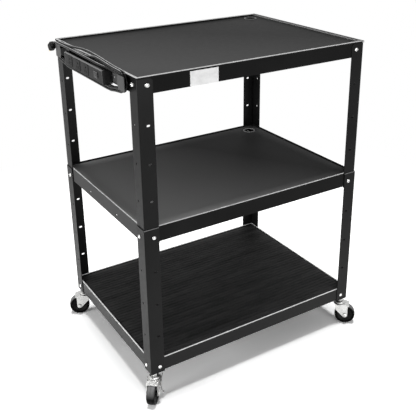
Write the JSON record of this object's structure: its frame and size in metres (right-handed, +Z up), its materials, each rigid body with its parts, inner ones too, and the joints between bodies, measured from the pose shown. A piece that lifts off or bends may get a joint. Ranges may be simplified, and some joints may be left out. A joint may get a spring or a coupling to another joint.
{
  "type": "audio visual cart",
  "caption": "Steel utility cart with tray shelves on angle steel legs, swivel casters, a ribbed mat and a side power strip with a cord wound round a wrap bracket.",
  "frame": {"origin": "on the floor under the middle of the cart", "axes": "+Z up, +X to the right along the long side, +Y to the rear; the front faces -Y and the power strip is on the left side, which faces -X"},
  "size_m": [0.886, 0.6729, 1.0832],
  "materials": {
    "black_paint": "satin powder coat",
    "strip_paint": "satin black",
    "mat_rubber": "matte, ribbed",
    "black_plastic": "fine grain",
    "grey_plastic": "semi-gloss",
    "cord_rubber": "semi-gloss",
    "tyre": "matte",
    "zinc": "bright zinc plate",
    "brass": "plain"
  },
  "bodies": {
    "cart_frame": {"top_shelf": "black_paint", "middle_shelf": "black_paint", "bottom_shelf": "black_paint", "bottom_mat": "mat_rubber", "top_grommet": "black_plastic", "middle_grommet": "black_plastic", "upper_leg_front_left": "black_paint", "upper_leg_front_right": "black_paint", "upper_leg_rear_left": "black_paint", "upper_leg_rear_right": "black_paint", "lower_leg_front_left": "black_paint", "lower_leg_front_right": "black_paint", "lower_leg_rear_left": "black_paint", "lower_leg_rear_right": "black_paint", "cord_wrap_bracket": "black_paint", "strip_housing": "strip_paint", "strip_cap_front": "black_plastic", "strip_cap_rear": "black_plastic", "outlet_1": "black_plastic", "outlet_2": "black_plastic", "outlet_3": "black_plastic", "switch_frame": "black_plastic", "strip_screw_front": "zinc", "strip_nut_front": "zinc", "strip_screw_rear": "zinc", "strip_nut_rear": "zinc", "cord_relief": "cord_rubber", "power_cord": "cord_rubber", "plug_body": "cord_rubber", "plug_blade_upper": "brass", "plug_blade_lower": "brass", "plug_ground_pin": "brass", "caster_stem_front_left": "zinc", "caster_stem_front_right": "zinc", "caster_stem_rear_left": "zinc", "caster_stem_rear_right": "zinc", "stem_nut_front_left": "zinc", "stem_nut_front_right": "zinc", "stem_nut_rear_left": "zinc", "stem_nut_rear_right": "zinc"},
    "rocker": {"switch_rocker": "grey_plastic"},
    "swivel_front_left": {"fork_front_left": "zinc", "axle_front_left": "zinc"},
    "swivel_front_right": {"fork_front_right": "zinc", "axle_front_right": "zinc"},
    "swivel_rear_left": {"fork_rear_left": "zinc", "axle_rear_left": "zinc"},
    "swivel_rear_right": {"fork_rear_right": "zinc", "axle_rear_right": "zinc"},
    "wheel_front_left": {"hub_front_left": "grey_plastic", "tyre_front_left": "tyre"},
    "wheel_front_right": {"hub_front_right": "grey_plastic", "tyre_front_right": "tyre"},
    "wheel_rear_left": {"hub_rear_left": "grey_plastic", "tyre_rear_left": "tyre"},
    "wheel_rear_right": {"hub_rear_right": "grey_plastic", "tyre_rear_right": "tyre"},
    "brake_front_left": {"brake_lever_front_left": "zinc"},
    "brake_front_right": {"brake_lever_front_right": "zinc"}
  },
  "joints": [
    {"name": "switch_tip", "type": "hinge", "parent": "cart_frame", "child": "rocker", "pos_m": [-0.4309, -0.101, 1.0358], "axis": [0, 0, 1], "range_deg": [-16, 0]},
    {"name": "swivel_turn_front_left", "type": "hinge", "parent": "cart_frame", "child": "swivel_front_left", "pos_m": [-0.3904, -0.2888, 0.08], "axis": [0, 0, 1], "continuous": true},
    {"name": "swivel_turn_front_right", "type": "hinge", "parent": "cart_frame", "child": "swivel_front_right", "pos_m": [0.3904, -0.2888, 0.08], "axis": [0, 0, 1], "continuous": true},
    {"name": "swivel_turn_rear_left", "type": "hinge", "parent": "cart_frame", "child": "swivel_rear_left", "pos_m": [-0.3904, 0.2888, 0.08], "axis": [0, 0, 1], "continuous": true},
    {"name": "swivel_turn_rear_right", "type": "hinge", "parent": "cart_frame", "child": "swivel_rear_right", "pos_m": [0.3904, 0.2888, 0.08], "axis": [0, 0, 1], "continuous": true},
    {"name": "wheel_spin_front_left", "type": "hinge", "parent": "swivel_front_left", "child": "wheel_front_left", "pos_m": [-0.40378, -0.30366, 0.0375], "axis": [0.7431, -0.6691, 0], "continuous": true},
    {"name": "wheel_spin_front_right", "type": "hinge", "parent": "swivel_front_right", "child": "wheel_front_right", "pos_m": [0.40526, -0.30218, 0.0375], "axis": [0.6691, 0.7431, 0], "continuous": true},
    {"name": "wheel_spin_rear_left", "type": "hinge", "parent": "swivel_rear_left", "child": "wheel_rear_left", "pos_m": [-0.40894, 0.29629, 0.0375], "axis": [-0.3746, -0.9272, 0], "continuous": true},
    {"name": "wheel_spin_rear_right", "type": "hinge", "parent": "swivel_rear_right", "child": "wheel_rear_right", "pos_m": [0.40526, 0.30218, 0.0375], "axis": [-0.6691, 0.7431, 0], "continuous": true},
    {"name": "brake_tip_front_left", "type": "hinge", "parent": "swivel_front_left", "child": "brake_front_left", "pos_m": [-0.37167, -0.29759, 0.064], "axis": [0.7431, -0.6691, 0], "range_deg": [0, 12]},
    {"name": "brake_tip_front_right", "type": "hinge", "parent": "swivel_front_right", "child": "brake_front_right", "pos_m": [0.39919, -0.27007, 0.064], "axis": [0.6691, 0.7431, 0], "range_deg": [0, 12]}
  ]
}
